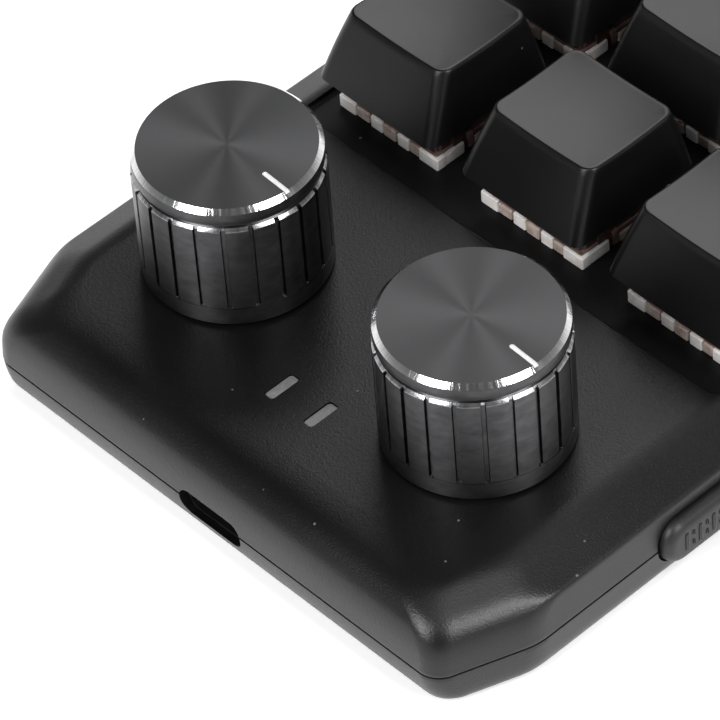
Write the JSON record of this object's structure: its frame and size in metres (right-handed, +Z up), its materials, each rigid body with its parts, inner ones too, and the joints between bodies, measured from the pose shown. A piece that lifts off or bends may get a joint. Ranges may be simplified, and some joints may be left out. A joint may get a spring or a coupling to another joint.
{
  "type": "macro keypad with knobs",
  "caption": "Portrait macro keypad: a grid of sprung keys sunk in a low black case, turning and pressing aluminium knobs on the end deck, a USB-C inlet and a side slider.",
  "frame": {"origin": "centre of the object's box in plan, at the underside of the rubber feet", "axes": "+Z up, +Y towards the knob end with the USB inlet, -X towards the side slider"},
  "size_m": [0.0772, 0.1374, 0.0298],
  "materials": {
    "case_plastic": "fine spark-eroded grain, black",
    "keycap_plastic": "satin black, fine grain on the sides",
    "slider_plastic": "satin black",
    "foot_rubber": "matt",
    "steel_screw": "zinc plated",
    "board": "solder mask",
    "steel_plated": "plated",
    "chip_black": "moulded",
    "led_white": "moulded",
    "window_grey": "translucent grey",
    "switch_milky": "milky translucent",
    "switch_tinted": "tinted translucent",
    "stem_red": "moulded",
    "spring_steel": "bright",
    "knob_aluminium": "black anodised, turned, bright-cut bevel",
    "shaft_aluminium": "turned"
  },
  "bodies": {
    "case": {"upper_shell": "case_plastic", "lower_shell": "case_plastic", "rubber_feet": "foot_rubber", "case_screws": "steel_screw", "main_board": "board", "usb_c_receptacle": "steel_plated", "board_chips": "chip_black", "board_leds": "led_white", "indicator_light_pipes": "window_grey", "switch_lower_housings": "switch_milky", "switch_upper_housings": "switch_tinted", "switch_pins": "steel_plated", "encoder_bases": "chip_black", "encoder_covers": "steel_plated", "slide_switch_body": "steel_plated", "switch_spring_r1c1": "spring_steel", "switch_spring_r1c2": "spring_steel", "switch_spring_r1c3": "spring_steel", "switch_spring_r2c1": "spring_steel", "switch_spring_r2c2": "spring_steel", "switch_spring_r2c3": "spring_steel", "switch_spring_r3c1": "spring_steel", "switch_spring_r3c2": "spring_steel", "switch_spring_r3c3": "spring_steel", "switch_spring_r4c1": "spring_steel", "switch_spring_r4c2": "spring_steel", "switch_spring_r4c3": "spring_steel"},
    "key_r1c1": {"keycap_r1c1": "keycap_plastic", "switch_stem_r1c1": "stem_red"},
    "key_r1c2": {"keycap_r1c2": "keycap_plastic", "switch_stem_r1c2": "stem_red"},
    "key_r1c3": {"keycap_r1c3": "keycap_plastic", "switch_stem_r1c3": "stem_red"},
    "key_r2c1": {"keycap_r2c1": "keycap_plastic", "switch_stem_r2c1": "stem_red"},
    "key_r2c2": {"keycap_r2c2": "keycap_plastic", "switch_stem_r2c2": "stem_red"},
    "key_r2c3": {"keycap_r2c3": "keycap_plastic", "switch_stem_r2c3": "stem_red"},
    "key_r3c1": {"keycap_r3c1": "keycap_plastic", "switch_stem_r3c1": "stem_red"},
    "key_r3c2": {"keycap_r3c2": "keycap_plastic", "switch_stem_r3c2": "stem_red"},
    "key_r3c3": {"keycap_r3c3": "keycap_plastic", "switch_stem_r3c3": "stem_red"},
    "key_r4c1": {"keycap_r4c1": "keycap_plastic", "switch_stem_r4c1": "stem_red"},
    "key_r4c2": {"keycap_r4c2": "keycap_plastic", "switch_stem_r4c2": "stem_red"},
    "key_r4c3": {"keycap_r4c3": "keycap_plastic", "switch_stem_r4c3": "stem_red"},
    "encoder_push_left": {"encoder_plunger_left": "switch_milky"},
    "knob_turn_left": {"knob_left": "knob_aluminium", "knob_insert_left": "chip_black", "encoder_shaft_left": "shaft_aluminium"},
    "encoder_push_right": {"encoder_plunger_right": "switch_milky"},
    "knob_turn_right": {"knob_right": "knob_aluminium", "knob_insert_right": "chip_black", "encoder_shaft_right": "shaft_aluminium"},
    "slider": {"slider_cap": "slider_plastic"}
  },
  "joints": [
    {"name": "key_press_r1c1", "type": "slide", "parent": "case", "child": "key_r1c1", "axis": [0, 0, -1], "range_m": [0, 0.0038], "stiffness_N_per_m": 75, "springref_m": -0.004, "deforming": ["switch_spring_r1c1"]},
    {"name": "key_press_r1c2", "type": "slide", "parent": "case", "child": "key_r1c2", "axis": [0, 0, -1], "range_m": [0, 0.0038], "stiffness_N_per_m": 75, "springref_m": -0.004, "deforming": ["switch_spring_r1c2"]},
    {"name": "key_press_r1c3", "type": "slide", "parent": "case", "child": "key_r1c3", "axis": [0, 0, -1], "range_m": [0, 0.0038], "stiffness_N_per_m": 75, "springref_m": -0.004, "deforming": ["switch_spring_r1c3"]},
    {"name": "key_press_r2c1", "type": "slide", "parent": "case", "child": "key_r2c1", "axis": [0, 0, -1], "range_m": [0, 0.0038], "stiffness_N_per_m": 75, "springref_m": -0.004, "deforming": ["switch_spring_r2c1"]},
    {"name": "key_press_r2c2", "type": "slide", "parent": "case", "child": "key_r2c2", "axis": [0, 0, -1], "range_m": [0, 0.0038], "stiffness_N_per_m": 75, "springref_m": -0.004, "deforming": ["switch_spring_r2c2"]},
    {"name": "key_press_r2c3", "type": "slide", "parent": "case", "child": "key_r2c3", "axis": [0, 0, -1], "range_m": [0, 0.0038], "stiffness_N_per_m": 75, "springref_m": -0.004, "deforming": ["switch_spring_r2c3"]},
    {"name": "key_press_r3c1", "type": "slide", "parent": "case", "child": "key_r3c1", "axis": [0, 0, -1], "range_m": [0, 0.0038], "stiffness_N_per_m": 75, "springref_m": -0.004, "deforming": ["switch_spring_r3c1"]},
    {"name": "key_press_r3c2", "type": "slide", "parent": "case", "child": "key_r3c2", "axis": [0, 0, -1], "range_m": [0, 0.0038], "stiffness_N_per_m": 75, "springref_m": -0.004, "deforming": ["switch_spring_r3c2"]},
    {"name": "key_press_r3c3", "type": "slide", "parent": "case", "child": "key_r3c3", "axis": [0, 0, -1], "range_m": [0, 0.0038], "stiffness_N_per_m": 75, "springref_m": -0.004, "deforming": ["switch_spring_r3c3"]},
    {"name": "key_press_r4c1", "type": "slide", "parent": "case", "child": "key_r4c1", "axis": [0, 0, -1], "range_m": [0, 0.0038], "stiffness_N_per_m": 75, "springref_m": -0.004, "deforming": ["switch_spring_r4c1"]},
    {"name": "key_press_r4c2", "type": "slide", "parent": "case", "child": "key_r4c2", "axis": [0, 0, -1], "range_m": [0, 0.0038], "stiffness_N_per_m": 75, "springref_m": -0.004, "deforming": ["switch_spring_r4c2"]},
    {"name": "key_press_r4c3", "type": "slide", "parent": "case", "child": "key_r4c3", "axis": [0, 0, -1], "range_m": [0, 0.0038], "stiffness_N_per_m": 75, "springref_m": -0.004, "deforming": ["switch_spring_r4c3"]},
    {"name": "knob_push_left", "type": "slide", "parent": "case", "child": "encoder_push_left", "axis": [0, 0, -1], "range_m": [0, 0.0003], "stiffness_N_per_m": 2500, "springref_m": -0.0004},
    {"name": "knob_spin_left", "type": "hinge", "parent": "encoder_push_left", "child": "knob_turn_left", "pos_m": [0.0207, 0.04518, 0.01319], "axis": [0, 0, 1], "continuous": true},
    {"name": "knob_push_right", "type": "slide", "parent": "case", "child": "encoder_push_right", "axis": [0, 0, -1], "range_m": [0, 0.0003], "stiffness_N_per_m": 2500, "springref_m": -0.0004},
    {"name": "knob_spin_right", "type": "hinge", "parent": "encoder_push_right", "child": "knob_turn_right", "pos_m": [-0.0162, 0.04518, 0.01319], "axis": [0, 0, 1], "continuous": true},
    {"name": "slider_move", "type": "slide", "parent": "case", "child": "slider", "axis": [0, -1, 0], "range_m": [0, 0.002]}
  ]
}
